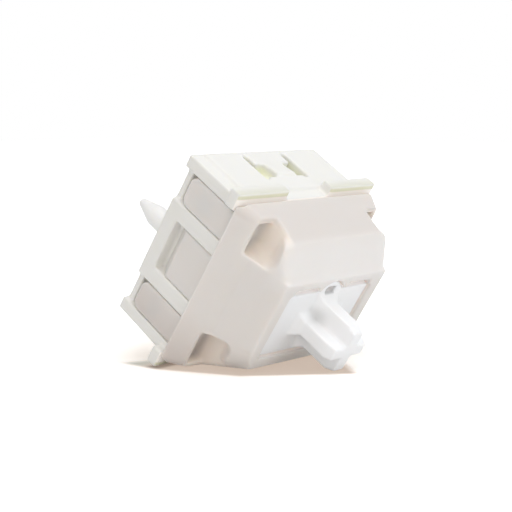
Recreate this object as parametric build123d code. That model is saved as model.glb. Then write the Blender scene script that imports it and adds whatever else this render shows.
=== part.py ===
from build123d import *
import os

# A cross-stem keyboard switch, in millimetres.
# +Z is the way the stem rises. The origin is on the centre post's axis, where the
# housing sits on the circuit board. The stem travels along -Z when it is pressed.
# Front is the +Y side with the tall creased wall, back is the -Y side above the pins.

# Heights above the circuit board
FLANGE_Z = 5.0            # underside of the flange, which rests on the mounting plate
FLANGE_T = 1.0
HOUSING_H = 11.6          # top face of the upper housing
STEM_RISE = 3.6           # tip of the cross above that face
SEAM = 0.02               # running gap where the two housings meet

# Plan sizes of the housing
BODY_W = 14.0             # fits a 14 mm square cut-out
FLANGE_RIM = 0.8          # the flange reaches this far beyond the body, 15.6 mm in all
WALL = 1.0                # front and back walls of the lower housing
SIDE_WALL = 0.8           # its left and right walls, behind the clip legs
FLOOR_T = 1.2
LEG_BAY = 1.0             # depth of the side bays that take the clip legs

# What goes through the circuit board
POST_R = 2.0
POST_STRAIGHT = 2.8
POST_TIP = 0.5
BOARD_LEG_R = 0.85
BOARD_LEG_X = 5.08
BOARD_LEG_STRAIGHT = 2.0
BOARD_LEG_TIP = 1.8
BOARD_LEG_TIP_R = 0.3
PIN_LEN = 2.7
PIN_W = 1.0
SHEET_T = 0.3             # stamped terminals
PIN_FIT = 0.05            # clearance of a pin in its slot
SHEET_LIFT = 0.05         # clearance of the terminals above the floor
FIXED_PIN = (3.81, -2.54)
LEAF_PIN = (-2.54, -5.08)

# Side frames of the lower housing, between the clip legs
FRAME_HALF = 3.45
FRAME_BEAM = 1.35
FRAME_BAR = 1.25
FRAME_FOOT = 0.15         # the bar's lower edge above the board
SILL_BACK = 0.35          # the sill under the legs lies this far behind the bar's face
SILL_H = 0.6

# Plate clip in the front and back walls
CLIP_HALF = 2.4           # half the distance between the two slits
CLIP_SLIT = 0.45
CLIP_LOW = 0.8
CLIP_HIGH = 3.7
CLIP_POCKET_Z = (1.9, 3.45)
CLIP_POCKET_IN = 1.0      # the pockets stop this far from the middle
CLIP_POCKET_DEPTH = (0.7, 0.2)
CLIP_TOOTH = 0.45         # the tooth stands this proud of the wall
CLIP_TOOTH_H = 1.4
PLATEAU_HALF = 5.9
PLATEAU_T = 0.25
PLATEAU_LOW = 0.3
FLANGE_RETURN = 1.4       # corner blocks of the flange on the left and right sides

# Clip legs of the upper housing
LEG_T = 0.85
LEG_W = 2.3
LEG_END_Z = 1.0
LEG_ROOT = 0.7            # legs and tongues join the skirt this far above the flange
LEG_ROUND = 0.7
CATCH_W = 1.3             # blind pocket in the back of each leg, for the hooks
CATCH_Z = (2.3, 3.6)
CATCH_SKIN = 0.2          # what is left in front of the pocket
HOOK_OUT = 0.6
HOOK_GAP = 0.1

# Tongue of the upper housing that fills the side frame
TONGUE_HALF = 2.0
TONGUE_IN = 0.05          # clearance to the wall behind
TONGUE_OUT = 0.08         # its face lies this far behind the frame's
TONGUE_Z = (1.6, 2.6)     # its bevelled end, at the back and at the face

# Outer form of the upper housing. The front is creased, the back slopes in one plane.
# Each "in" size is measured inwards from the body's side.
SKIRT_LIFT = 0.3          # lower edge of the front and back faces, above the flange
SKIRT_H = 1.7             # top of the skirt, above the flange
SKIRT_OUT = 0.35          # how far it stands out at its lower edge
SKIRT_INSET = 0.1
SKIRT_ROUND = 0.8
BREAK_SHARE = 0.7         # height of the crease, as a share of the way up to the top
CREASE_IN = 0.6
BACK_IN = 0.4             # back face at the top of the skirt
CAP_IN_X = 0.8            # rounded upper corners, at the crease
CAP_IN_FRONT = 0.7
CAP_IN_BACK = 2.1
CAP_STEP = 0.1            # they lie this far behind the side faces at the top
CAP_ROUND = (1.8, 1.0)    # radius of the back and front corners at the crease
TOP_ROUND = (1.6, 0.6)    # and at the top
TOP_HALF_X = 5.75
TOP_FRONT_Y = 3.85
TOP_BACK_Y = 3.75
SIDE_FRONT_Y = 4.0        # front end of the sloping left and right faces
SIDE_BACK_Y = (3.2, 2.1)  # their back end, at the skirt and at the top
SIDE_BEND = ((-0.65, 0), (-0.02, 0.25), (0.4, 0.38), (0.65, 0.58))    # in, share of the height
SLAB_HALF_X = 5.15        # half width of the front and back walls at the scoops
TOP_T = 1.0
SHELL_X = 1.05
SHOULDER_ROOM = 3.1       # half depth of the room for the shoulder
SCOOP_WALL = 0.3
SCOOP_DEPTH = 0.9         # depth of the pocket in the top of the skirt
SCOOP_ROUND = 0.9
SCOOP_IN_BACK = 0.8
SCOOP_LEAN = (-1.1, 0.35)      # the inner wall leans out between these heights above the crease
SCOOP_LEAN_OUT = 1.05
CAVITY_KNEE_IN = (1.6, 1.5)    # inset of the cavity's bends at the front and back
CAVITY_TOP_Y = (3.95, 3.5)
CAVITY_KNEE_DROP = 0.7    # the front bend lies this far below the crease

# Opening in the top face, and the stem's shoulder in it
OPEN_HALF_X = 4.65
OPEN_HALF_Y = 2.85
OPEN_SLOT_Y = 3.3         # the relieved stretches beside the middle
OPEN_SLOT_X = (1.6, 4.3)
BAY_R = 1.6
BAY_Y = 2.05
SHOULDER_GAP = 0.12
SHOULDER_DOWN = 0.2       # shoulder below the top face
SHOULDER_HALF_Y = 2.73
KEY_HOLE = (1.0, 0.55)    # small square hole in the lobe, in front of the cross
KEY_HOLE_Y = 2.75
KEY_HOLE_DEPTH = 0.6

# Cross of the stem
CROSS_X = 4.1
CROSS_Y = 4.0
ARM_X_T = 1.17            # thickness of the arm that runs along X
ARM_Y_T = 1.3
ARM_TIP = 0.3             # taper at the tips
ARM_TIP_SIDE = 0.1
ARM_TIP_H = 0.7
ROOT_FLARE = 0.5          # the foot of each arm spreads out over the shoulder
ROOT_H = 0.7

# Lower part of the stem
STOP_HALF_X = 4.25
STOP_FRONT_Y = 3.8
STOP_BACK_Y = 3.35
STOP_T = 0.9
STOP_GAP = 0.05
SLIDER_HALF_X = 3.6
SLIDER_HALF_Y = 2.75
STEM_LOW = 6.4
RAIL_X = 4.58
RAIL_HALF_Y = 0.9
RAIL_GAP = 0.12
GUIDE_W = 0.8
POLE_R = 1.0
POLE_END = 3.2
POLE_TIP = 0.3
CAM_X = (2.0, 3.0)
CAM_NOSE = (6.6, 7.6)
CAM_REACH = 0.16          # gap between the cam's nose and the leaf at rest
CAM_LEAD = (0.3, 0.4)     # bevel under the nose
CAM_RELIEF = (0.55, 0.5)  # the leg falls back behind the nose

# Spring and its seat
WIRE_R = 0.13
COIL_R = 2.0
COIL_TURNS = 9
COLLAR_R = 1.72
COLLAR_TOP = 4.2
WELL_R = 1.15
WELL_DEPTH = 2.4
POCKET_R = 2.35
SPRING_GAP = 0.03

# Contacts
LEAF_T = 0.15
LEAF_IN = 0.85            # inner face of the moving leaf, from the back wall
LEAF_HALF_X = 3.2
LEAF_FOOT_Z = 1.5
LEAF_TOP_DROP = 0.3       # its top edge lies this far below the cavity's back bend
LEAF_TONGUE_Z = 5.5
LEAF_SLIT = (0.95, 1.75)
LEAF_GAP = 0.05           # leaf to the terminal plate behind it
LEAF_PLATE_TOP = 3.0
KNEE_GAP = 0.02
UPRIGHT_HALF_X = 0.8
UPRIGHT_TOP = 5.2
UPRIGHT_T = 0.15
POINT_Z = 4.7
POINT_W = 0.3
POINT_L = 0.9
POINT_GAP = 0.25          # open distance between the two contact points

# Levels that follow from the sizes above
FLANGE_TOP = FLANGE_Z + FLANGE_T
SKIRT_BASE = FLANGE_TOP + SEAM
HALF_BODY = BODY_W / 2
HALF_FLANGE = HALF_BODY + FLANGE_RIM
TUB_X = HALF_BODY - LEG_BAY
CAVITY_X = TUB_X - SIDE_WALL
CAVITY_Y = HALF_BODY - WALL
LEAF_Y = LEAF_IN - CAVITY_Y
LEG_ROOT_Z = FLANGE_TOP + LEG_ROOT
SKIRT_Z = FLANGE_TOP + SKIRT_LIFT
SKIRT_TOP = FLANGE_TOP + SKIRT_H
LEAF_TOP_Z = SKIRT_TOP - LEAF_TOP_DROP
SKIRT_HALF_Y = HALF_BODY + SKIRT_OUT
CREASE_Z = SKIRT_Z + BREAK_SHARE * (HOUSING_H - SKIRT_Z)
CREASE_Y = HALF_BODY - CREASE_IN
BACK_Y = HALF_BODY - BACK_IN
CAP_HALF_X = HALF_BODY - CAP_IN_X
CAP_FRONT_Y = HALF_BODY - CAP_IN_FRONT
CAP_BACK_Y = HALF_BODY - CAP_IN_BACK
SCOOP_FLOOR = SKIRT_TOP - SCOOP_DEPTH
CEILING_Z = HOUSING_H - TOP_T
SHOULDER_Z = HOUSING_H - SHOULDER_DOWN
STOP_TOP = CEILING_Z - STOP_GAP
STOP_LOW = STOP_TOP - STOP_T
TIP_Z = HOUSING_H + STEM_RISE
LEG_Y = (FRAME_HALF + CAVITY_Y) / 2


def block(x0, x1, y0, y1, z0, z1):
    """A box between two opposite corners."""
    size = Box(x1 - x0, y1 - y0, z1 - z0)
    return Pos((x0 + x1) / 2, (y0 + y1) / 2, (z0 + z1) / 2) * size


def rod(x, y, r, z0, z1):
    """A vertical cylinder from z0 to z1."""
    return Pos(x, y, (z0 + z1) / 2) * Cylinder(r, z1 - z0)


def taper(x, y, r0, r1, z0, z1):
    """A vertical cone, r0 at z0 and r1 at z1."""
    return Pos(x, y, (z0 + z1) / 2) * Cone(r0, r1, z1 - z0)


def slab(x_half, y_back, y_front, z, r_back, r_front):
    """A flat rectangle at height z with its own radius for the back and front corners."""
    flat = Pos(0, (y_front - y_back) / 2, z) * Rectangle(2 * x_half, y_front + y_back)
    flat = fillet(flat.vertices().group_by(Axis.Y)[0], r_back)
    return fillet(flat.vertices().group_by(Axis.Y)[-1], r_front)


def prism_x(points, x0, x1):
    """A profile of (y, z) points carried from x0 to x1."""
    outline = Polyline(*[(x0, y, z) for y, z in points], close=True)
    return extrude(make_face(outline), amount=x1 - x0, dir=(1, 0, 0))


def prism_y(points, y0, y1):
    """A profile of (x, z) points carried from y0 to y1."""
    outline = Polyline(*[(x, y0, z) for x, z in points], close=True)
    return extrude(make_face(outline), amount=y1 - y0, dir=(0, 1, 0))


def frustum(x0, y0, z0, x1, y1, z1):
    """A four-sided block, x0 by y0 at its foot and x1 by y1 at its top."""
    return loft([Pos(0, 0, z0) * Rectangle(x0, y0), Pos(0, 0, z1) * Rectangle(x1, y1)])


def both(solid, plane):
    """A solid together with its mirror image."""
    return solid + mirror(solid, about=plane)


def four(solid):
    """A solid repeated in the four corners."""
    return both(both(solid, Plane.YZ), Plane.XZ)


def tub():
    """Floor and walls of the lower housing, open at the top."""
    outer = block(-TUB_X, TUB_X, -HALF_BODY, HALF_BODY, 0, FLANGE_TOP)
    corner = block(TUB_X, HALF_BODY, CAVITY_Y, HALF_BODY, 0, FLANGE_TOP)
    inside = block(-CAVITY_X, CAVITY_X, -CAVITY_Y, CAVITY_Y, FLOOR_T, FLANGE_TOP)
    return outer + four(corner) - inside


def flange():
    """Flange strips on the front and back walls, with a return at each corner."""
    strip = block(-HALF_FLANGE, HALF_FLANGE, HALF_BODY, HALF_FLANGE, FLANGE_Z, FLANGE_TOP)
    notch = block(-CLIP_HALF, CLIP_HALF, HALF_BODY, HALF_FLANGE, FLANGE_Z, FLANGE_TOP)
    back = HALF_FLANGE - FLANGE_RETURN
    end = block(HALF_BODY, HALF_FLANGE, back, HALF_FLANGE, FLANGE_Z, FLANGE_TOP)
    return both(strip - notch, Plane.XZ) + four(end)


def wall_plateau():
    """The raised field outside the front wall and the plate clip's tooth on it."""
    face = HALF_BODY + PLATEAU_T
    top = CLIP_POCKET_Z[1]
    low = top - CLIP_TOOTH_H
    field = block(-PLATEAU_HALF, PLATEAU_HALF, HALF_BODY, face, PLATEAU_LOW, FLANGE_Z)
    profile = [(HALF_BODY, low), (face, low), (HALF_BODY + CLIP_TOOTH, top), (HALF_BODY, top)]
    return field + prism_x(profile, -CLIP_POCKET_IN, CLIP_POCKET_IN)


def clip_cuts():
    """Two slits and two pockets that free the plate clip in the front wall."""
    far = HALF_BODY + CLIP_TOOTH
    slit = block(CLIP_HALF - CLIP_SLIT, CLIP_HALF, CAVITY_Y, far, CLIP_LOW, CLIP_HIGH)
    z0, z1 = CLIP_POCKET_Z
    deep, shallow = CLIP_POCKET_DEPTH
    profile = [(far, z0), (HALF_BODY - deep, z0), (HALF_BODY - shallow, z1), (far, z1)]
    return both(slit + prism_x(profile, CLIP_POCKET_IN, CLIP_HALF), Plane.YZ)


def side_frame():
    """The raised frame in the middle of the right side: a bar and two beams."""
    bar = block(TUB_X, HALF_BODY, -FRAME_HALF, FRAME_HALF, FRAME_FOOT, FRAME_FOOT + FRAME_BAR)
    beam = block(TUB_X, HALF_BODY, FRAME_HALF - FRAME_BEAM, FRAME_HALF, FRAME_FOOT, FLANGE_TOP)
    sill = block(TUB_X, HALF_BODY - SILL_BACK, -CAVITY_Y, CAVITY_Y, FRAME_FOOT, FRAME_FOOT + SILL_H)
    return bar + both(beam, Plane.XZ) + sill


def hooks():
    """Four wedges that the clip legs snap over."""
    half = CATCH_W / 2 - HOOK_GAP
    z0 = CATCH_Z[0] + HOOK_GAP
    z1 = CATCH_Z[1] - HOOK_GAP
    profile = [(TUB_X, z0), (TUB_X + HOOK_OUT, z0), (TUB_X, z1)]
    return four(prism_y(profile, LEG_Y - half, LEG_Y + half))


def stem_guides():
    """Ribs inside the side walls, either side of the stem's rails."""
    y0 = RAIL_HALF_Y + RAIL_GAP
    return four(block(STOP_HALF_X + RAIL_GAP, CAVITY_X, y0, y0 + GUIDE_W, FLOOR_T, FLANGE_TOP))


def pin_slot(pin):
    """The slot in the floor for one terminal's pin."""
    x, y = pin
    half_w = PIN_W / 2 + PIN_FIT
    half_t = SHEET_T / 2 + PIN_FIT
    return block(x - half_w, x + half_w, y - half_t, y + half_t, 0, FLOOR_T)


def bottom_housing():
    """The lower housing: tub, flange, side frames, clip, posts and spring seat."""
    body = tub() + flange() + both(wall_plateau(), Plane.XZ) + both(side_frame(), Plane.YZ)
    body += hooks() + stem_guides()
    body += rod(0, 0, COLLAR_R, FLOOR_T, COLLAR_TOP)
    body += rod(0, 0, POST_R, -POST_STRAIGHT, 0)
    body += taper(0, 0, POST_R - POST_TIP, POST_R, -POST_STRAIGHT - POST_TIP, -POST_STRAIGHT)
    for x in (-BOARD_LEG_X, BOARD_LEG_X):
        low = -BOARD_LEG_STRAIGHT - BOARD_LEG_TIP
        body += rod(x, 0, BOARD_LEG_R, -BOARD_LEG_STRAIGHT, 0)
        body += taper(x, 0, BOARD_LEG_TIP_R, BOARD_LEG_R, low, -BOARD_LEG_STRAIGHT)
    body -= both(clip_cuts(), Plane.XZ)
    body -= rod(0, 0, WELL_R, -WELL_DEPTH, COLLAR_TOP)
    return body - pin_slot(FIXED_PIN) - pin_slot(LEAF_PIN)


def skirt():
    """The base of the upper housing, drawn in from the flange to the scoops."""
    lower = slab(HALF_FLANGE, SKIRT_HALF_Y, SKIRT_HALF_Y, SKIRT_BASE, SKIRT_ROUND, SKIRT_ROUND)
    upper = slab(HALF_BODY, BACK_Y, HALF_BODY, SKIRT_TOP, SKIRT_ROUND, SKIRT_ROUND)
    under = block(-HALF_FLANGE, HALF_FLANGE, HALF_BODY - SKIRT_INSET, HALF_FLANGE, SKIRT_BASE, SKIRT_Z)
    side = block(TOP_HALF_X, HALF_FLANGE, -SIDE_BACK_Y[0], SIDE_FRONT_Y, SKIRT_Z, SKIRT_TOP)
    return loft([lower, upper]) - both(under, Plane.XZ) - both(side, Plane.YZ)


def side_face():
    """The sloping block that carries the left and right faces."""
    rise = HOUSING_H - SKIRT_Z
    right = [(HALF_BODY - inset, SKIRT_Z + share * rise) for inset, share in SIDE_BEND]
    right.append((TOP_HALF_X, HOUSING_H))
    left = [(-x, z) for x, z in reversed(right)]
    low, high = SIDE_BACK_Y
    ends = [(-low, SKIRT_Z), (-low, SKIRT_TOP), (-high, HOUSING_H), (SIDE_FRONT_Y, HOUSING_H),
            (SIDE_FRONT_Y, SKIRT_Z)]
    return prism_y(right + left, -low, SIDE_FRONT_Y) & prism_x(ends, -HALF_FLANGE, HALF_FLANGE)


def end_faces():
    """The block that carries the creased front face and the plain back face."""
    foot = SKIRT_HALF_Y - SKIRT_INSET
    front = [(foot, SKIRT_Z), (HALF_BODY, SKIRT_TOP), (CREASE_Y, CREASE_Z), (TOP_FRONT_Y, HOUSING_H)]
    back = [(-TOP_BACK_Y, HOUSING_H), (-BACK_Y, SKIRT_TOP), (-foot, SKIRT_Z)]
    return prism_x(front + back, -SLAB_HALF_X, SLAB_HALF_X)


def upper_corners():
    """The rounded upper part, which overhangs the scoops."""
    base = slab(CAP_HALF_X, CAP_BACK_Y, CAP_FRONT_Y, SKIRT_TOP, *CAP_ROUND)
    low = slab(CAP_HALF_X, CAP_BACK_Y, CAP_FRONT_Y, CREASE_Z, *CAP_ROUND)
    high = slab(TOP_HALF_X - CAP_STEP, TOP_BACK_Y, TOP_FRONT_Y, HOUSING_H, *TOP_ROUND)
    return extrude(base, amount=CREASE_Z - SKIRT_TOP) + loft([low, high])


def scoop_section(x, y, z):
    """What a scoop takes away at height z: all beyond the rounded corner at (x, y)."""
    far = HALF_FLANGE + SCOOP_ROUND
    flat = Pos((x + far) / 2, (y + far) / 2, z) * Rectangle(far - x, far - y)
    return fillet(flat.vertices().group_by(Axis.X)[0].group_by(Axis.Y)[0], SCOOP_ROUND)


def scoop_room(y_low, y_high):
    """A hollow for the right front corner. Its inner wall stands, then leans out to a point."""
    lean = CREASE_Z + SCOOP_LEAN[0]
    roof = CREASE_Z + SCOOP_LEAN[1]
    share = (lean - SKIRT_TOP) / (roof - SKIRT_TOP)
    y_lean = y_low + share * (y_high - y_low)
    sections = [scoop_section(SLAB_HALF_X, y_low, SCOOP_FLOOR),
                scoop_section(SLAB_HALF_X, y_low, SKIRT_TOP),
                scoop_section(SLAB_HALF_X, y_lean, lean),
                scoop_section(SLAB_HALF_X + SCOOP_LEAN_OUT, y_high, roof)]
    return loft(sections, ruled=True)


def scoops():
    """A rounded hollow in each corner, which ends as a pocket in the top of the skirt."""
    low, high = SIDE_BACK_Y
    roof_share = (CREASE_Z + SCOOP_LEAN[1] - SKIRT_TOP) / (HOUSING_H - SKIRT_TOP)
    back = mirror(scoop_room(low, low + roof_share * (high - low)), about=Plane.XZ)
    room = scoop_room(SIDE_FRONT_Y, SIDE_FRONT_Y) + back
    far = HALF_FLANGE + SCOOP_ROUND
    open_part = room - block(0, far, -far, far, 0, SKIRT_TOP)
    pocket = room & block(0, HALF_BODY - SCOOP_WALL, SCOOP_IN_BACK - HALF_BODY, CREASE_Y, 0, SKIRT_TOP)
    return both(open_part + pocket, Plane.YZ)


def top_cavity():
    """The room inside the upper housing for the stem and the contacts."""
    half_x = TOP_HALF_X - SHELL_X
    wide = block(-half_x, half_x, -SHOULDER_ROOM, SHOULDER_ROOM, SKIRT_BASE, CEILING_Z)
    knee = CREASE_Z - CAVITY_KNEE_DROP
    front = HALF_BODY - CAVITY_KNEE_IN[0]
    back = HALF_BODY - CAVITY_KNEE_IN[1]
    profile = [(CAVITY_Y, SKIRT_BASE), (front, knee), (CAVITY_TOP_Y[0], CEILING_Z),
               (-CAVITY_TOP_Y[1], CEILING_Z), (-back, SKIRT_TOP), (-CAVITY_Y, SKIRT_BASE)]
    reach = STOP_HALF_X + RAIL_GAP
    return wide + prism_x(profile, -reach, reach)


def top_opening():
    """The opening round the stem's shoulder, with a round bay at the front."""
    hole = block(-OPEN_HALF_X, OPEN_HALF_X, -OPEN_HALF_Y, OPEN_HALF_Y, CEILING_Z, HOUSING_H)
    slot = block(*OPEN_SLOT_X, 0, OPEN_SLOT_Y, CEILING_Z, HOUSING_H)
    return hole + both(slot, Plane.YZ) + rod(0, BAY_Y, BAY_R, CEILING_Z, HOUSING_H)


def clip_leg():
    """One leg with its catch, at the right front corner."""
    half = LEG_W / 2
    w = CATCH_W / 2
    x0 = HALF_BODY - LEG_T
    leg = block(x0, HALF_BODY, LEG_Y - half, LEG_Y + half, LEG_END_Z, LEG_ROOT_Z)
    leg = fillet(leg.edges().filter_by(Axis.X).group_by(Axis.Z)[0], LEG_ROUND)
    return leg - block(x0, HALF_BODY - CATCH_SKIN, LEG_Y - w, LEG_Y + w, *CATCH_Z)


def side_tongue():
    """The bevelled tongue that hangs into the right side frame."""
    back = TUB_X + TONGUE_IN
    face = HALF_BODY - TONGUE_OUT
    z0, z1 = TONGUE_Z
    profile = [(back, z0), (face, z1), (face, LEG_ROOT_Z), (back, LEG_ROOT_Z)]
    return prism_y(profile, -TONGUE_HALF, TONGUE_HALF)


def top_housing():
    """The upper housing: skirt, sloping faces, scoops, clip legs and side tongues."""
    body = skirt() + side_face() + end_faces() + upper_corners()
    body -= scoops()
    body -= top_cavity() + top_opening()
    return body + four(clip_leg()) + both(side_tongue(), Plane.YZ)


def cross_arm(length_x, length_y, tip_x, tip_y):
    """One bar of the cross, flared at its foot and tapered at its tip."""
    mid = TIP_Z - ARM_TIP_H
    bar = block(-length_x / 2, length_x / 2, -length_y / 2, length_y / 2, SHOULDER_Z, mid)
    spread = 2 * ROOT_FLARE
    foot = frustum(length_x + spread, length_y + spread, SHOULDER_Z, length_x, length_y, SHOULDER_Z + ROOT_H)
    tip = frustum(length_x, length_y, mid, length_x - 2 * tip_x, length_y - 2 * tip_y, TIP_Z)
    return bar + foot + tip


def shoulder():
    """The flat top of the stem that fills the opening round the cross."""
    half_x = OPEN_HALF_X - SHOULDER_GAP
    plate = block(-half_x, half_x, -SHOULDER_HALF_Y, SHOULDER_HALF_Y, STOP_TOP, SHOULDER_Z)
    return plate + rod(0, BAY_Y, BAY_R - SHOULDER_GAP, STOP_TOP, SHOULDER_Z)


def key_hole():
    """The small square hole in the lobe in front of the cross."""
    w, d = KEY_HOLE
    return block(-w / 2, w / 2, KEY_HOLE_Y - d / 2, KEY_HOLE_Y + d / 2, SHOULDER_Z - KEY_HOLE_DEPTH, TIP_Z)


def cams():
    """Two legs with a nose that holds the leaf away until the stem goes down."""
    nose = LEAF_Y + CAM_REACH
    z0, z1 = CAM_NOSE
    profile = [(-SLIDER_HALF_Y, z0), (nose + CAM_LEAD[0], z0), (nose, z0 + CAM_LEAD[1]), (nose, z1),
               (nose + CAM_RELIEF[0], z1 + CAM_RELIEF[1]), (-STOP_BACK_Y, STOP_LOW),
               (-SLIDER_HALF_Y, STOP_LOW)]
    return both(prism_x(profile, *CAM_X), Plane.YZ)


def stem():
    """The slider: cross, shoulder, stop plate, skirt, rails, cams and pole."""
    body = cross_arm(CROSS_X, ARM_X_T, ARM_TIP, ARM_TIP_SIDE)
    body += cross_arm(ARM_Y_T, CROSS_Y, ARM_TIP_SIDE, ARM_TIP)
    body += shoulder()
    body -= key_hole()
    body += block(-STOP_HALF_X, STOP_HALF_X, -STOP_BACK_Y, STOP_FRONT_Y, STOP_LOW, STOP_TOP)
    body += block(-SLIDER_HALF_X, SLIDER_HALF_X, -SLIDER_HALF_Y, SLIDER_HALF_Y, STEM_LOW, STOP_LOW)
    body += both(block(SLIDER_HALF_X, RAIL_X, -RAIL_HALF_Y, RAIL_HALF_Y, STEM_LOW, STOP_LOW), Plane.YZ)
    body += cams()
    body -= rod(0, 0, POCKET_R, STEM_LOW, STOP_TOP)
    body += rod(0, 0, POLE_R, POLE_END + POLE_TIP, STOP_TOP)
    return body + taper(0, 0, POLE_R - POLE_TIP, POLE_R, POLE_END, POLE_END + POLE_TIP)


def return_spring():
    """The compression spring between the floor and the stem's pocket."""
    z0 = FLOOR_T + SPRING_GAP + WIRE_R
    z1 = STOP_TOP - SPRING_GAP - WIRE_R
    path = Pos(0, 0, z0) * Helix((z1 - z0) / COIL_TURNS, z1 - z0, COIL_R)
    section = Plane(origin=path @ 0, z_dir=path % 0) * RegularPolygon(WIRE_R, 6)
    return sweep(section, path=path, is_frenet=True)


def fixed_terminal():
    """A stamped strip: pin, foot across the floor and upright behind the fixed point."""
    x, y = FIXED_PIN
    half_t = SHEET_T / 2
    half_w = PIN_W / 2
    z0 = FLOOR_T + SHEET_LIFT
    z1 = z0 + SHEET_T
    back = LEAF_Y + POINT_GAP + 2 * POINT_W
    pin = block(x - half_w, x + half_w, y - half_t, y + half_t, -PIN_LEN, z1)
    foot = block(x - half_w, x + half_w, back, y + half_t, z0, z1)
    run = block(-UPRIGHT_HALF_X, x + half_w, back, back + PIN_W, z0, z1)
    upright = block(-UPRIGHT_HALF_X, UPRIGHT_HALF_X, back, back + UPRIGHT_T, z0, UPRIGHT_TOP)
    return pin + foot + run + upright


def fixed_contact_point():
    """The small welded bar on the fixed upright."""
    back = LEAF_Y + POINT_GAP + 2 * POINT_W
    half = POINT_W / 2
    return block(-POINT_L / 2, POINT_L / 2, back - POINT_W, back, POINT_Z - half, POINT_Z + half)


def leaf_terminal():
    """A stamped plate with a pin, which carries the moving leaf."""
    x, y = LEAF_PIN
    face = LEAF_Y - LEAF_T - LEAF_GAP
    half_t = SHEET_T / 2
    half_w = PIN_W / 2
    z0 = FLOOR_T + SHEET_LIFT
    plate = block(-LEAF_HALF_X, LEAF_HALF_X, face - SHEET_T, face, z0, LEAF_PLATE_TOP)
    pin = block(x - half_w, x + half_w, y - half_t, y + half_t, -PIN_LEN, z0)
    knee = block(x - half_w, x + half_w, face - SHEET_T, y + half_t, z0, LEAF_FOOT_Z - KNEE_GAP)
    return plate + pin + knee


def moving_leaf():
    """The spring leaf: two wings that the cams push, and a tongue for the contact."""
    y0 = LEAF_Y - LEAF_T
    s0, s1 = LEAF_SLIT
    sheet = block(-LEAF_HALF_X, LEAF_HALF_X, y0, LEAF_Y, LEAF_FOOT_Z, LEAF_TOP_Z)
    slit = block(s0, s1, y0, LEAF_Y, LEAF_PLATE_TOP, LEAF_TOP_Z)
    above = block(-s0, s0, y0, LEAF_Y, LEAF_TONGUE_Z, LEAF_TOP_Z)
    return sheet - both(slit, Plane.YZ) - above


def moving_contact_point():
    """The small welded bar on the leaf's tongue, across the fixed one."""
    half = POINT_W / 2
    low = POINT_Z - POINT_L / 2
    return block(-half, half, LEAF_Y, LEAF_Y + POINT_W, low, low + POINT_L)


PIECES = {
    "bottom_housing": bottom_housing,
    "top_housing": top_housing,
    "stem": stem,
    "return_spring": return_spring,
    "fixed_terminal": fixed_terminal,
    "fixed_contact_point": fixed_contact_point,
    "leaf_terminal": leaf_terminal,
    "moving_leaf": moving_leaf,
    "moving_contact_point": moving_contact_point,
}

os.makedirs("parts", exist_ok=True)
for name, make in PIECES.items():
    solid = make()
    export_step(solid, f"parts/{name}.step")
    print(f"{name}: {solid.volume:.2f} mm3")
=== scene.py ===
# %% [markdown]
# # A cross-stem keyboard switch
#
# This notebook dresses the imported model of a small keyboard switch: a cream lower
# housing, a milky upper housing, a white stem with a cross, and the spring and contacts
# inside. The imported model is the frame. It fixes every size and place, so a new piece is
# drawn straight into the same coordinates and never has to be fitted.

# %% Load the frame
import math

import bmesh
import bpy
import numpy as np
from mathutils import Matrix, Vector


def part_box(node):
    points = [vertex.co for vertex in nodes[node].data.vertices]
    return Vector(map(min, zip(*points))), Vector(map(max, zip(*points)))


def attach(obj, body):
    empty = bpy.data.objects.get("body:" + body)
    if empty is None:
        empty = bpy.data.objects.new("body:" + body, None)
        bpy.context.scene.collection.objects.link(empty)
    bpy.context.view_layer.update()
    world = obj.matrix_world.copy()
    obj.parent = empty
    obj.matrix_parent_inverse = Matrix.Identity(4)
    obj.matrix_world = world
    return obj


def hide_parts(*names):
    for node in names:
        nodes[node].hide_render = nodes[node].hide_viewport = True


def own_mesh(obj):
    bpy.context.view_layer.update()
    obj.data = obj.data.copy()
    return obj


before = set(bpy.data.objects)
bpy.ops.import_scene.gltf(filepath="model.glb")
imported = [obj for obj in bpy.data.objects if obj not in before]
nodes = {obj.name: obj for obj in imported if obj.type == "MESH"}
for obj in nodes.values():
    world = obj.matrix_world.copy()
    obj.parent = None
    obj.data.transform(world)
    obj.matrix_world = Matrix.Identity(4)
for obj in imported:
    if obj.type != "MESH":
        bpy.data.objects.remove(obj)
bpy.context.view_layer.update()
MM = 0.001


# %% Levels of the frame, in millimetres
FLANGE_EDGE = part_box("bottom_housing")[1].y / MM
FLANGE_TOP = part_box("bottom_housing")[1].z / MM
CROSS_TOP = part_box("stem")[1].z / MM
MIDDLE = Vector((0, 0, FLANGE_TOP)) * MM
print("flange reaches", round(FLANGE_EDGE, 2), "mm out")
print("cross stands", round(CROSS_TOP - FLANGE_TOP, 2), "mm above the flange")

# %% [markdown]
# ## Where the camera stands
#
# A photo taken from close by shows parallel edges drawing together. The camera's place
# and its focal length were fitted together, so that the flange, the side frame and the
# cross all fall on their pixels. The switch lies on its edge in the photo, but here it
# keeps its own frame, and the camera and the floor are turned instead.

# %% Camera
CAMERA_AT = Vector((-73.4, 45.39, 51.72)) * MM
LOOK = Vector((0.7471, -0.4577, -0.4820))
VIEW_UP = Vector((0.0894, 0.7878, -0.6094))
LENS = 91.4
NEAREST = 5 * MM
FARTHEST = 5000 * MM

right = LOOK.cross(VIEW_UP).normalized()
up = right.cross(LOOK).normalized()
camera_data = bpy.data.cameras.new("camera")
camera_data.lens = LENS
camera_data.clip_start = NEAREST
camera_data.clip_end = FARTHEST
camera = bpy.data.objects.new("camera", camera_data)
turned = Matrix((right, up, -LOOK.normalized())).transposed().to_4x4()
camera.matrix_world = Matrix.Translation(CAMERA_AT) @ turned
bpy.context.scene.collection.objects.link(camera)
bpy.context.scene.camera = camera
distance = (CAMERA_AT - MIDDLE).length / MM
print("camera is", round(distance, 1), "mm from the middle of the switch")

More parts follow.
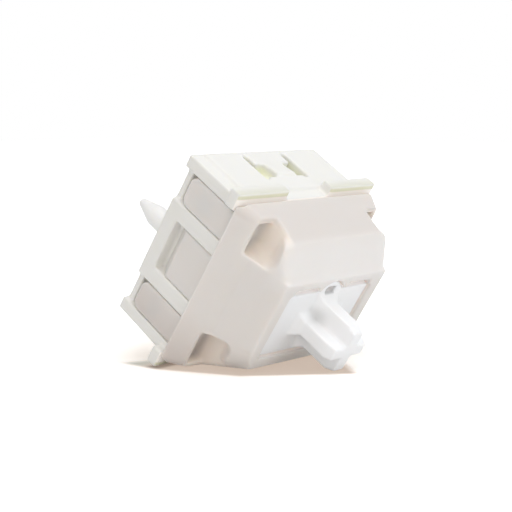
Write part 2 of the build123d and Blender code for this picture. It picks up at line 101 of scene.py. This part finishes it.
# %% [markdown]
# ## Nodes as sums
#
# A material is a small machine that works out numbers for each point of a surface. Built
# by hand it is a web of boxes and wires. Written as sums it reads like a formula, so this
# class wraps one wire and lets Python's own signs add the Math nodes.

# %% A wire of the shader


class Wire:
    """One output of a shader tree. Signs such as + and * between wires add Math nodes."""

    def __init__(self, tree, socket=None):
        self.tree = tree
        self.socket = socket

    def add(self, kind, settings=None, sockets=None, out=0):
        """A new node: its settings first, then a value or a wire for each named socket."""
        node = self.tree.nodes.new(kind)
        for name, value in (settings or {}).items():
            setattr(node, name, value)
        for name, value in (sockets or {}).items():
            if isinstance(value, Wire):
                self.tree.links.new(value.socket, node.inputs[name])
            else:
                node.inputs[name].default_value = value
        return Wire(self.tree, node.outputs[out] if len(node.outputs) else None)

    def sum(self, operation, *values):
        """A Math node that does this operation on the values."""
        return self.add("ShaderNodeMath", {"operation": operation}, dict(enumerate(values)))

    def __add__(self, other):
        return self.sum("ADD", self, other)

    def __sub__(self, other):
        return self.sum("SUBTRACT", self, other)

    def __rsub__(self, other):
        return self.sum("SUBTRACT", other, self)

    def __mul__(self, other):
        return self.sum("MULTIPLY", self, other)

    def __abs__(self):
        return self.sum("ABSOLUTE", self)

    __radd__ = __add__
    __rmul__ = __mul__

    def most(self, other):
        """The larger of two wires."""
        return self.sum("MAXIMUM", self, other)

    def least(self, other):
        """The smaller of two wires."""
        return self.sum("MINIMUM", self, other)

    def rise(self, start, end):
        """0 before start, 1 after end, and a soft step between them."""
        return self.add("ShaderNodeMapRange", {"interpolation_type": "SMOOTHSTEP"},
                        {"Value": self, "From Min": start, "From Max": end})

    def fall(self, start, end):
        """1 before start, 0 after end."""
        return 1 - self.rise(start, end)

    def between(self, rise, fall):
        """1 between two soft steps, each given by its start and its end."""
        return self.rise(*rise) * self.fall(*fall)

    def tint(self, color_a, color_b):
        """Colour a where this wire is 0, and colour b where it is 1."""
        return self.add("ShaderNodeMix", {"data_type": "RGBA"}, {0: self, 6: color_a, 7: color_b}, out=2)

    def noise(self, scale, detail=2.0):
        """Cloudy noise about 0.5, with this wire as its place in millimetres."""
        return self.add("ShaderNodeTexNoise", sockets={"Vector": self, "Scale": scale, "Detail": detail})


# %% A finish and its places


def new_finish(name):
    """A material with its shader, and a wire to start the sums from."""
    material = bpy.data.materials.new(name)
    material.use_nodes = True
    tree = material.node_tree
    shader = tree.nodes["Principled BSDF"]
    return material, shader, Wire(tree)


def places(start):
    """The point on the object in millimetres, as one vector and as its x, y and z."""
    point = start.add("ShaderNodeTexCoord", out="Object")
    scaled = start.add("ShaderNodeVectorMath", {"operation": "SCALE"}, {"Vector": point, "Scale": 1 / MM})
    split = [start.add("ShaderNodeSeparateXYZ", sockets={"Vector": scaled}, out=axis) for axis in "XYZ"]
    return scaled, *split


def rgb(red, green, blue):
    """A colour as a socket takes it, with full cover."""
    return (red, green, blue, 1.0)


BLACK = rgb(0, 0, 0)
WHITE = rgb(1, 1, 1)

# %% What leads into a shader


def feed(shader, name, wire):
    """Leads a wire into one socket of the shader."""
    shader.id_data.links.new(wire.socket, shader.inputs[name])


def uneven_shine(shader, point, scale, least, change):
    """Roughness that wanders in clouds from least to least + change."""
    feed(shader, "Roughness", point.noise(scale) * change + least)


def bumpy(shader, strength, depth, height):
    """Bumps that follow the height wire, as deep as depth in millimetres."""
    bump = height.add("ShaderNodeBump", sockets={
        "Strength": strength, "Distance": depth * MM, "Height": height})
    feed(shader, "Normal", bump)


def own_light(shader, mask, color):
    """A faint light of this colour where the mask is 1."""
    feed(shader, "Emission Color", mask.tint(BLACK, color))
    shader.inputs["Emission Strength"].default_value = 1.0


def scatter(shader, weight, radius, reach):
    """Light wanders under the skin: reach in millimetres, times the radius for red, green and blue."""
    shader.inputs["Subsurface Weight"].default_value = weight
    shader.inputs["Subsurface Radius"].default_value = radius
    shader.inputs["Subsurface Scale"].default_value = reach * MM


print("the shader wires are ready")

# %% [markdown]
# ## Cream plastic of the lower housing
#
# The lower housing is an opaque cream moulding with a fine satin skin. Light that has
# bounced about in its slots comes out yellow-green. A real spark-worn mould leaves tiny
# pits, which spread the shine; here they are a bump of a few thousandths of a millimetre.
# The flange is thin, so the narrow strip of its upper side that the upper housing leaves
# free gets light from below. Its outer part carries a painted olive shade, as in the gap
# under the upper housing, and its inner part is painted lighter, in the tone of the upper
# housing, and shines faintly: painted light. All tints are painted by place, as products
# of soft steps. A soft step is a pair of lengths in millimetres, where it starts and ends.

# %% Cream colours and where they lie
CREAM = rgb(0.865, 0.86, 0.825)
CREAM_CLOUD = rgb(0.85, 0.845, 0.80)
CREAM_THIN = rgb(0.93, 0.93, 0.91)
CREAM_DEEP = rgb(0.93, 0.94, 0.74)
CREAM_RIM_SHADE = rgb(0.78, 0.77, 0.58)
CREAM_BLUSH_LIGHT = rgb(0.95, 0.90, 0.85)
CREAM_FACE = rgb(0.74, 0.735, 0.64)
RIM_LIGHT = rgb(0.085, 0.078, 0.074)

LEG_ROOT = (-0.6, 0.0)
SLOT_WIDTH = (2.3, 2.6)
SLOT_HEIGHT = ((0.5, 1.0), (3.6, 4.0))
SLOT_TINT = 0.8
FACE_HEIGHT = (5.0, 5.9)

# These are measured inwards from the flange's edge, and downwards from its top.
FACE_SKIN = (0.02, 0.08)
RIM_STRIP = ((0.02, 0.25), (0.35, 0.5))
BLUSH_STRIP = ((0.35, 0.5), (1.5, 1.8))
SLOT_DEPTH = ((0.65, 1.1), (2.0, 2.3))
RIM_SKIN = (0.03, 0.15)
print("the tinted rim of the flange ends", RIM_STRIP[1][1], "mm from its edge")

# %% Cream finish
cream, shader, start = new_finish("cream_plastic")
point, x, y, z = places(start)
inset = FLANGE_EDGE - abs(y)
recess = abs(x).fall(*SLOT_WIDTH) * inset.between(*SLOT_DEPTH) * z.between(*SLOT_HEIGHT)
upper_side = (FLANGE_TOP - z).fall(*RIM_SKIN)
# painted shade: the outer strip of the flange's upper side is tinted olive, as in the gap under the upper
# housing
rim_shade = inset.between(*RIM_STRIP) * upper_side
# painted light: the inner strip of the flange's upper side is painted lighter and, through own_light, shines
# faintly
blush_light = inset.between(*BLUSH_STRIP) * upper_side
face = inset.fall(*FACE_SKIN) * z.rise(*FACE_HEIGHT)
tone = z.fall(*LEG_ROOT).tint(point.noise(0.35).tint(CREAM_CLOUD, CREAM), CREAM_THIN)
tone = (recess * SLOT_TINT).tint(tone, CREAM_DEEP)
tone = face.tint(blush_light.tint(tone, CREAM_BLUSH_LIGHT), CREAM_FACE)
feed(shader, "Base Color", rim_shade.tint(tone, CREAM_RIM_SHADE))
uneven_shine(shader, point, scale=2.0, least=0.42, change=0.12)
own_light(shader, blush_light, RIM_LIGHT)
bumpy(shader, strength=0.25, depth=0.01, height=point.noise(14.0, detail=3.0))
scatter(shader, weight=0.12, radius=(1.0, 0.9, 0.5), reach=0.5)
print("cream finish ready")

# %% [markdown]
# ## Milky plastic of the upper housing
#
# The upper housing is a milky, slightly see-through plastic. Its thin walls look pale and
# warm, and the light that gets lost in the corner scoops comes back in a pale peach.
# Scattering under the skin gives the soft look. The scoops' tint is painted by place,
# so it stays put when the camera moves. The slope towards +y is painted paler, a painted
# highlight where it faces the light. The low end towards -y and -x and the foot of the
# front face are painted darker: painted shade. Daylight also comes through the walls from
# the side and lights the opening and the lower scoops from within. Light can't be followed
# through the solid that far, so these walls shine a little by themselves.

# %% Milky colours and where they lie
MILKY = rgb(0.765, 0.73, 0.69)
MILKY_PALE = rgb(0.85, 0.83, 0.81)
MILKY_SHADE = rgb(0.63, 0.575, 0.535)
SCOOP_PEACH = rgb(0.94, 0.86, 0.78)
THROUGH = rgb(0.12, 0.10, 0.095)

SCOOP_FRONT = ((3.8, 4.1), (6.3, 6.9))
SCOOP_BACK = ((2.6, 3.2), (6.3, 6.9))
SCOOP_SIDE = ((4.9, 5.2), (6.6, 7.0))
SCOOP_HEIGHT = ((6.9, 7.6), (8.6, 10.6))
BACK_HALF = (1.0, 2.0)
SLOPE_UP = (9.6, 10.6)
SLOPE_OUT = (2.6, 4.2)
LOW_BACK = (1.5, 6.5)
LOW_SIDE = (3.5, 5.0)
FRONT_FOOT = (6.2, 6.6)
OPENING_X = (4.72, 4.8)
OPENING_Y = (3.17, 3.25)
OPENING_SHIFT = 0.2
OPENING_TOP = (11.35, 11.5)

# These say how strongly a tint or a light shows where its mask is 1.
CLOUD_TINT = 0.3
SLOPE_LIGHT_TINT = 0.45
LOW_SHADE_TINT = 0.8
FRONT_FOOT_PART = 0.5
SCOOP_TINT = 0.95
SCOOP_LIGHT = 0.3
print("the corner scoops are tinted from", SCOOP_HEIGHT[0][0], "to", SCOOP_HEIGHT[1][1], "mm above the board")

# %% Milky finish
milky, shader, start = new_finish("milky_plastic")
point, x, y, z = places(start)
back = 0 - y
ends = y.between(*SCOOP_FRONT) + back.between(*SCOOP_BACK)
scoop = abs(x).between(*SCOOP_SIDE) * ends * z.between(*SCOOP_HEIGHT)
# painted highlight: the slope towards +y is painted paler where it faces the light
slope = z.rise(*SLOPE_UP) * y.rise(*SLOPE_OUT)
# painted shade: the low end towards -y and -x, which faces the floor, and the foot of the front face are
# painted darker
low_shade = back.rise(*LOW_BACK) * (0 - x).rise(*LOW_SIDE) + y.rise(*FRONT_FOOT) * FRONT_FOOT_PART
tone = (point.noise(0.3) * CLOUD_TINT + slope * SLOPE_LIGHT_TINT).tint(MILKY, MILKY_PALE)
tone = (low_shade * LOW_SHADE_TINT).tint(tone, MILKY_SHADE)
feed(shader, "Base Color", (scoop * SCOOP_TINT).tint(tone, SCOOP_PEACH))
uneven_shine(shader, point, scale=1.5, least=0.34, change=0.1)
opening = abs(x).fall(*OPENING_X) * abs(y - OPENING_SHIFT).fall(*OPENING_Y) * z.fall(*OPENING_TOP)
own_light(shader, opening.most(scoop * back.rise(*BACK_HALF) * SCOOP_LIGHT), THROUGH)
bumpy(shader, strength=0.2, depth=0.01, height=point.noise(10.0, detail=3.0))
scatter(shader, weight=0.5, radius=(1.0, 0.8, 0.65), reach=0.7)
print("milky finish ready")

# %% [markdown]
# ## White plastic of the stem
#
# The stem is made of a slippery plastic with a bluish white body and a smooth skin. Small
# flow marks from the mould make the shine uneven. The corners between the arms of the
# cross and the key hole hold a grey shade, and the sides below the shoulder catch the
# light that comes through the upper housing.

# %% Stem colours and where they lie
STEM_WHITE = rgb(0.94, 0.945, 0.945)
STEM_CLOUD = rgb(0.92, 0.925, 0.93)
STEM_SHADE = rgb(0.62, 0.63, 0.63)

ARM_HALF_X = 0.65
ARM_HALF_Y = 0.58
NOTCH_REACH = (0.1, 1.3)
NOTCH_UP = (11.5, 13.2)
NOTCH_TINT = 0.85
HOLE_X = (0.45, 0.6)
HOLE_Y = (0.25, 0.35)
HOLE_AT = 2.75
HOLE_FLOOR = (10.5, 10.7)
SHOULDER_SIDE = ((9.8, 10.4), (11.1, 11.32))
print("the key hole lies", HOLE_AT, "mm from the stem's middle, towards +y")

# %% Stem finish
white, shader, start = new_finish("stem_plastic")
point, x, y, z = places(start)
beside_x = (abs(x) - ARM_HALF_X).fall(*NOTCH_REACH)
beside_y = (abs(y) - ARM_HALF_Y).fall(*NOTCH_REACH)
notch = beside_x * beside_y * z.fall(*NOTCH_UP)
hole = abs(x).fall(*HOLE_X) * abs(y - HOLE_AT).fall(*HOLE_Y) * z.rise(*HOLE_FLOOR)
tone = point.noise(0.5).tint(STEM_CLOUD, STEM_WHITE)
feed(shader, "Base Color", hole.most(notch * NOTCH_TINT).tint(tone, STEM_SHADE))
uneven_shine(shader, point, scale=3.0, least=0.24, change=0.15)
own_light(shader, z.between(*SHOULDER_SIDE), THROUGH)
bumpy(shader, strength=0.2, depth=0.006, height=point.noise(6.0, detail=3.0))
scatter(shader, weight=0.2, radius=(0.8, 0.9, 1.0), reach=0.4)
print("stem finish ready")

# %% [markdown]
# ## Metals
#
# Four metals sit inside: drawn spring wire, plated brass terminals, a copper leaf and
# gold-coloured contact points. They share one recipe. Fine lines along the direction in
# which the strip was rolled change the roughness, and the colour goes darker in faint
# clouds.

# %% Metal finishes
LINE_STRETCH = 0.4
LINE_CHANGE = 0.3
CLOUD_STEP = (0.3, 0.7)


def metal(name, light, dark, rough, line_scale):
    """A metal whose clouds mix two colours, with rolled lines stretched along z."""
    material, shader, start = new_finish(name)
    point, x, y, z = places(start)
    stretched = start.add("ShaderNodeCombineXYZ", sockets={
        "X": x * line_scale, "Y": y * line_scale, "Z": z * LINE_STRETCH})
    lines = stretched.noise(1.0, detail=4.0)
    feed(shader, "Base Color", point.noise(0.9).rise(*CLOUD_STEP).tint(dark, light))
    feed(shader, "Roughness", lines * LINE_CHANGE + (rough - LINE_CHANGE / 2))
    bumpy(shader, strength=0.3, depth=0.004, height=lines)
    shader.inputs["Metallic"].default_value = 1.0
    return material


steel = metal("spring_steel", rgb(0.66, 0.67, 0.70), rgb(0.52, 0.53, 0.56), rough=0.3, line_scale=6.0)
brass = metal("terminal_brass", rgb(0.86, 0.72, 0.46), rgb(0.74, 0.57, 0.33), rough=0.32, line_scale=9.0)
copper = metal("leaf_copper", rgb(0.82, 0.52, 0.36), rgb(0.66, 0.38, 0.25), rough=0.3, line_scale=12.0)
gold = metal("contact_metal", rgb(0.93, 0.76, 0.42), rgb(0.80, 0.60, 0.30), rough=0.22, line_scale=4.0)
print("four metals ready")

# %% [markdown]
# ## Moulded housings
#
# The frame's solids have razor edges, which no moulding has: plastic shrinks round its
# corners, and a mould is never cut perfectly sharp. A bevel rounds simple edges, but it
# tears where many slanted faces meet, as they do round the corner scoops. So each solid is
# first covered with an even skin of small squares. Then every point is moved towards the
# mean of its neighbours a few times. On a flat face that mean lies in the point's own
# plane, so flat faces stay where they are and only the edges go round, the more rounds the
# rounder.

# %% A skin that relaxes
WELD = 0.002


def skin_of(node, cell):
    """A welded copy of a frame node, covered again with squares about one cell wide."""
    mesh = nodes[node].data.copy()
    work = bmesh.new()
    work.from_mesh(mesh)
    bmesh.ops.remove_doubles(work, verts=work.verts, dist=WELD * MM)
    work.to_mesh(mesh)
    work.free()
    rough = bpy.data.objects.new("rough", mesh)
    bpy.context.scene.collection.objects.link(rough)
    cover = rough.modifiers.new("even skin", "REMESH")
    cover.mode = "VOXEL"
    cover.voxel_size = cell * MM
    covered = rough.evaluated_get(bpy.context.evaluated_depsgraph_get())
    skin = bpy.data.meshes.new_from_object(covered)
    bpy.data.objects.remove(rough)
    return skin


def points_of(mesh):
    """The mesh's points in metres, one row each."""
    points = np.empty(len(mesh.vertices) * 3)
    mesh.vertices.foreach_get("co", points)
    return points.reshape(-1, 3)


def relax(mesh, rounds, share):
    """In each round a point p moves to p + share * (mean of its neighbours - p)."""
    points = points_of(mesh)
    count = len(points)
    ends = np.empty(len(mesh.edges) * 2, int)
    mesh.edges.foreach_get("vertices", ends)
    one, two = ends.reshape(-1, 2).T
    here = np.concatenate([one, two])
    there = np.concatenate([two, one])
    neighbours = np.bincount(here, minlength=count)
    weight = share(*(points.T / MM))[:, None]
    for _ in range(rounds):
        sums = [np.bincount(here, points[there, axis], count) for axis in range(3)]
        points += weight * (np.stack(sums, axis=1) / neighbours[:, None] - points)
    mesh.vertices.foreach_set("co", points.ravel())
    mesh.update()


def moulded(node, name, body, material, cell, rounds, share, fit=None):
    """A soft-edged copy of a frame node; share(x, y, z) says how quickly each place rounds off."""
    skin = skin_of(node, cell)
    relax(skin, rounds, share)
    if fit:
        fit(skin)
    skin.name = name
    skin.materials.clear()
    skin.materials.append(material)
    skin.polygons.foreach_set("use_smooth", np.ones(len(skin.polygons), bool))
    piece = bpy.data.objects.new(name, skin)
    bpy.context.scene.collection.objects.link(piece)
    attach(piece, body)
    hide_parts(node)
    print(name, "has", len(skin.polygons), "squares")


# %% How quickly each place rounds off
EVEN_SHARE = 0.5
LEAST_SHARE = 0.12
EXTRA_SHARE = 0.23
SCOOP_RISE = (7.0, 8.2)
SCOOP_OUT = (4.4, 5.0)
SCOOP_AHEAD = (4.0, 4.4)
SCOOP_BEHIND = (3.0, 3.6)
CREASE_OUT = (5.0, 5.8)
CREASE_RISE = (8.8, 9.6)


def step(value, start, end):
    """0 before start, 1 after end, and 3t^2 - 2t^3 between them."""
    t = np.clip((value - start) / (end - start), 0, 1)
    return t * t * (3 - 2 * t)


def even(x, y, z):
    """The same share everywhere."""
    return np.full_like(x, EVEN_SHARE)


def soft_top(x, y, z):
    """A small share low down, and a larger one at the scoops, the crease and the upper corners."""
    end = np.maximum(step(y, *SCOOP_AHEAD), step(-y, *SCOOP_BEHIND))
    scoops = step(z, *SCOOP_RISE) * step(abs(x), *SCOOP_OUT) * end
    crease = step(y, *CREASE_OUT) * step(z, *CREASE_RISE)
    return LEAST_SHARE + EXTRA_SHARE * np.maximum(scoops, crease)


# %% [markdown]
# ## Legs that fill their bays
#
# The solids of the two housings keep a small gap, so that they never overlap. On the real
# switch the clip legs and tongues nearly fill the bays of the side frames, and only a hair
# line is seen between them. So the skin of the upper housing is widened there, by up to
# BAY_GAP on each side.

# %% Snug legs
HANGING_BELOW = (5.75, 5.95)
HANGING_OUT = 5.9
LEG_MIDDLE = 4.725
LEG_REACH = 1.4
LEG_SIDE = 1.0
TONGUE_REACH = 2.3
TONGUE_SIDE = 1.8
BAY_GAP = 0.08


def snug(mesh):
    """Points of a leg or tongue move along y, away from its middle line.

    The move grows evenly with the distance from that line, up to BAY_GAP at LEG_SIDE or TONGUE_SIDE.
    """
    x, y, z = points_of(mesh).T / MM
    hanging = (1 - step(z, *HANGING_BELOW)) * (abs(x) > HANGING_OUT)
    beside_leg = abs(y) - LEG_MIDDLE
    legs = (abs(beside_leg) < LEG_REACH) * np.clip(beside_leg / LEG_SIDE, -1, 1)
    tongues = (abs(y) < TONGUE_REACH) * np.clip(abs(y) / TONGUE_SIDE, 0, 1)
    y = y + np.sign(y) * hanging * BAY_GAP * (legs + tongues)
    mesh.vertices.foreach_set("co", np.stack([x, y, z], axis=1).ravel() * MM)


# %% The three mouldings
moulded("bottom_housing", "lower_housing", "housing", cream,
        cell=0.116, rounds=3, share=even)
moulded("top_housing", "upper_housing", "housing", milky,
        cell=0.11, rounds=14, share=soft_top, fit=snug)
moulded("stem", "cross_stem", "stem", white,
        cell=0.09, rounds=4, share=even)

# %% [markdown]
# ## Return spring
#
# The spring is wound from round wire, its ends a little closer than its middle. A tube
# carried along a helix gives it: the path is a formula, and each of its points carries a
# ring of points.

# %% Surfaces from grids


def grid_piece(name, points, material, body):
    """A closed tube from a grid of points: a row for each ring, quads between neighbours, two end caps."""
    rows, columns = points.shape[:2]
    index = np.arange(rows * columns).reshape(rows, columns)
    round_index = np.hstack([index, index[:, :1]])
    near_side = [round_index[:-1, :-1], round_index[:-1, 1:]]
    far_side = [round_index[1:, 1:], round_index[1:, :-1]]
    faces = np.stack(near_side + far_side, axis=-1).reshape(-1, 4).tolist()
    faces += [index[0, ::-1].tolist(), index[-1].tolist()]
    mesh = bpy.data.meshes.new(name)
    mesh.from_pydata(points.reshape(-1, 3).tolist(), [], faces)
    mesh.polygons.foreach_set("use_smooth", np.ones(len(mesh.polygons), bool))
    mesh.materials.append(material)
    mesh.update()
    piece = bpy.data.objects.new(name, mesh)
    bpy.context.scene.collection.objects.link(piece)
    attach(piece, body)
    return piece


def tube_along(path, radius, sides):
    """Rings square to the path: point = path + radius * (cos(turn) * side + sin(turn) * over)."""
    ahead = np.gradient(path, axis=0)
    ahead /= np.linalg.norm(ahead, axis=1, keepdims=True)
    side = np.cross(ahead, (0.0, 0.0, 1.0))
    side /= np.linalg.norm(side, axis=1, keepdims=True)
    over = np.cross(side, ahead)
    turn = np.linspace(0, 2 * math.pi, sides, endpoint=False)[None, :, None]
    ring = np.cos(turn) * side[:, None, :] + np.sin(turn) * over[:, None, :]
    return path[:, None, :] + radius * ring


# %% Spring
COIL_R = 2.0 * MM
WIRE_R = 0.13 * MM
TURNS = 9
END_CLOSER = 0.1
PATH_POINTS = 620
WIRE_SIDES = 12


def coil(bottom, top):
    """A helix about z, whose climb is t - END_CLOSER * sin(2 pi t) / (2 pi) for t from 0 to 1."""
    t = np.linspace(0, 1, PATH_POINTS)
    climb = t - END_CLOSER * np.sin(2 * math.pi * t) / (2 * math.pi)
    angle = 2 * math.pi * TURNS * t
    return np.stack([COIL_R * np.cos(angle), COIL_R * np.sin(angle), bottom + (top - bottom) * climb], axis=1)


spring_low, spring_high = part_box("return_spring")
helix = coil(spring_low.z + WIRE_R, spring_high.z - WIRE_R)
spring = grid_piece("coil_spring", tube_along(helix, WIRE_R, WIRE_SIDES), steel, "housing")
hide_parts("return_spring")
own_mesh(spring)
wire_len = float(np.linalg.norm(np.diff(helix, axis=0), axis=1).sum())
print("spring wire is", round(wire_len / MM, 1), "mm long")

# %% [markdown]
# ## Terminals, leaf and contact points
#
# The terminals and the leaf are stamped and bent from sheet with clean, square edges,
# which the frame's nodes already have. The contact points are small pieces welded on. All
# five keep their shape and only take a finish.

# %% Metal nodes keep their shape
for name, material in (("fixed_terminal", brass), ("leaf_terminal", brass), ("moving_leaf", copper),
                       ("fixed_contact_point", gold), ("moving_contact_point", gold)):
    nodes[name].data.materials.clear()
    nodes[name].data.materials.append(material)
print("metal nodes dressed")

# %% [markdown]
# ## Floor and light
#
# The photo is bright and almost without contrast: a white floor, white surroundings and
# soft light from all sides, a little stronger from above. The floor is a plane through
# the two lines on which the switch rests, the flange's edge and the tip of the cross. Its
# white comes from a glow that shows only to the camera, in reflections and through clear
# things, so the floor lights the switch no more than plain paper would.

# %% Floor plane
CROSS_TIP = 1.7
REST_FLANGE = Vector((0, -FLANGE_EDGE, FLANGE_TOP))
REST_CROSS = Vector((0, -CROSS_TIP, CROSS_TOP))
FLOOR_HALF = 500 * MM
ALONG_X = Vector((1, 0, 0))

run = (REST_CROSS - REST_FLANGE).normalized()
floor_up = run.cross(ALONG_X).normalized()
corners = [REST_FLANGE * MM + (ALONG_X * side + run * end) * FLOOR_HALF
           for side, end in ((-1, -1), (-1, 1), (1, 1), (1, -1))]
mesh = bpy.data.meshes.new("floor")
mesh.from_pydata([tuple(corner) for corner in corners], [], [(0, 1, 2, 3)])
floor = bpy.data.objects.new("floor", mesh)
bpy.context.scene.collection.objects.link(floor)
print("floor's upward direction", [round(v, 3) for v in floor_up])

# %% [markdown]
# ## The shade on the floor
#
# Under the switch the photo shows a beige shade with clear edges, darkest along the line
# where the flange touches the paper, and a grey tail on the far side of that line. It is
# drawn on the paper by place: a floor place has an x, and a length along the paper from
# the flange's line towards the cross.

# %% Where the shade lies
SHADE_COLOR = rgb(0.59, 0.48, 0.40)
SHADE_TAIL = rgb(0.50, 0.49, 0.43)
SHADE_CONTACT = rgb(0.17, 0.12, 0.09)
SHADE_LEFT = (0.333, -8.4)
SHADE_FRONT = (1.043, -13.3)
SHADE_END = -8.15
EDGE_STEP = (-0.45, 0.45)
TAIL_LENGTH = 3.7
TAIL_SLANT = 0.4
TAIL_STEP = (-0.3, 1.6)
CROSS_LENGTH = 6.9
CROSS_SLANT = 0.8
CROSS_STEP = (4.0, 5.2)
RIGHT_STEP = (5.5, 7.8)
CONTACT_STEP = (0.2, 1.0)
CONTACT_DEPTH = 0.8
TAIL_TO_SHADE = (-2.0, 0.0)


def switch_side(x, along, slope, offset):
    """How far a floor place lies on the switch's side of the line x = offset + slope * along."""
    return (x - offset - along * slope) * (1 / math.hypot(1, slope))


def shade_on(x, along):
    """How deep the shade is at a floor place, and its colour there."""
    inside = switch_side(x, along, *SHADE_LEFT).least(switch_side(x, along, *SHADE_FRONT))
    inside = inside.least(x - SHADE_END)
    tail = (along + TAIL_LENGTH - (x - SHADE_END) * TAIL_SLANT).rise(*TAIL_STEP)
    before_cross = (x + (along - CROSS_LENGTH) * CROSS_SLANT).fall(*CROSS_STEP)
    depth = inside.rise(*EDGE_STEP) * tail * before_cross * x.fall(*RIGHT_STEP)
    contact = abs(along).fall(*CONTACT_STEP) * CONTACT_DEPTH
    color = along.rise(*TAIL_TO_SHADE).tint(SHADE_TAIL, SHADE_COLOR)
    return depth, contact.tint(color, SHADE_CONTACT)


print("the shade begins", -SHADE_END, "mm left of the middle, and its tail is", TAIL_LENGTH, "mm long there")

# %% Floor paper
PAPER = rgb(0.86, 0.86, 0.86)
WARM_BOUNCE_GLOW = rgb(1.0, 0.88, 0.76)
SHADE_DEPTH = 0.92
GLOW_NEAR = 0.42
GLOW_FAR = 0.35
GLOW_BESIDE = 0.3
FLOOR_MIDDLE = (0, -5.0, 10.0)
FAR_STEP = (10.0, 22.0)
BESIDE_STEP = (SHADE_END - 1.5, SHADE_END)


def seen_by_camera(start):
    """1 for rays from the camera, mirrored rays and rays through clear things, 0 for all others."""
    straight = start.add("ShaderNodeLightPath", out="Is Camera Ray")
    mirrored = start.add("ShaderNodeLightPath", out="Is Glossy Ray")
    through = start.add("ShaderNodeLightPath", out="Is Transmission Ray")
    return straight.most(mirrored).most(through)


paper = bpy.data.materials.new("floor_paper")
paper.use_nodes = True
paper.node_tree.nodes.clear()
start = Wire(paper.node_tree)
seen = seen_by_camera(start)
floor_point, x, y, z = places(start)
away = start.add("ShaderNodeVectorMath", {"operation": "DISTANCE"}, {0: floor_point, 1: FLOOR_MIDDLE}, out=1)
far = away.rise(*FAR_STEP)
beside = x.fall(*BESIDE_STEP)
glow = seen * (far * GLOW_FAR + beside * GLOW_BESIDE + GLOW_NEAR)
matte = start.add("ShaderNodeBsdfDiffuse", sockets={"Color": PAPER})
# painted warm bounce light: near the switch the floor's glow is warm, as if lit by light bounced off the
# switch
bright = start.add("ShaderNodeEmission", sockets={"Color": far.tint(WARM_BOUNCE_GLOW, WHITE), "Strength": glow})
lit = start.add("ShaderNodeAddShader", sockets={0: matte, 1: bright})
along = (y - REST_FLANGE.y) * run.y + (z - REST_FLANGE.z) * run.z
depth, color = shade_on(x, along)
shaded = start.add("ShaderNodeEmission", sockets={"Color": color})
top = start.add("ShaderNodeMixShader", sockets={0: seen * depth * SHADE_DEPTH, 1: lit, 2: shaded})
behind = start.add("ShaderNodeNewGeometry", out="Backfacing")
clear = start.add("ShaderNodeBsdfTransparent")
shown = start.add("ShaderNodeMixShader", sockets={0: behind, 1: top, 2: clear})
start.add("ShaderNodeOutputMaterial", sockets={"Surface": shown})
floor.data.materials.append(paper)
print("floor paper ready")

# %% Surroundings
AROUND = 0.49

world = bpy.data.worlds.new("surroundings")
world.use_nodes = True
bpy.context.scene.world = world
world.node_tree.nodes.clear()
start = Wire(world.node_tree)
strength = seen_by_camera(start) * (1 - AROUND) + AROUND
sky = start.add("ShaderNodeBackground", sockets={"Color": WHITE, "Strength": strength})
start.add("ShaderNodeOutputWorld", sockets={"Surface": sky})
print("surroundings light the switch with", AROUND)

# %% Lamps
LAMP_SIZE = 350 * MM
toward = right.cross(floor_up).normalized()


def lamp(name, reach, power, color):
    """A square soft lamp. Its reach in metres is to the camera's right, off the floor and to the camera."""
    side, height, near = reach
    light = bpy.data.lights.new(name, "AREA")
    light.shape = "SQUARE"
    light.size = LAMP_SIZE
    light.energy = power
    light.color = color
    place = MIDDLE + right * side + floor_up * height + toward * near
    item = bpy.data.objects.new(name, light)
    item.location = place
    item.rotation_euler = (MIDDLE - place).to_track_quat("-Z", "Y").to_euler()
    bpy.context.scene.collection.objects.link(item)
    level = power / (math.pi * (place - MIDDLE).length ** 2)
    print(name, "lights the middle with about", round(level, 2))


lamp("top_softbox", reach=(0.05, 0.40, 0.10), power=0.72, color=(0.94, 0.95, 1.0))
lamp("right_softbox", reach=(0.40, 0.12, 0.15), power=0.44, color=(0.86, 0.94, 1.0))
lamp("front_softbox", reach=(0.0, 0.15, 0.42), power=0.40, color=(1.0, 0.89, 0.79))

# %% Output settings
bpy.context.scene.view_settings.view_transform = "Standard"
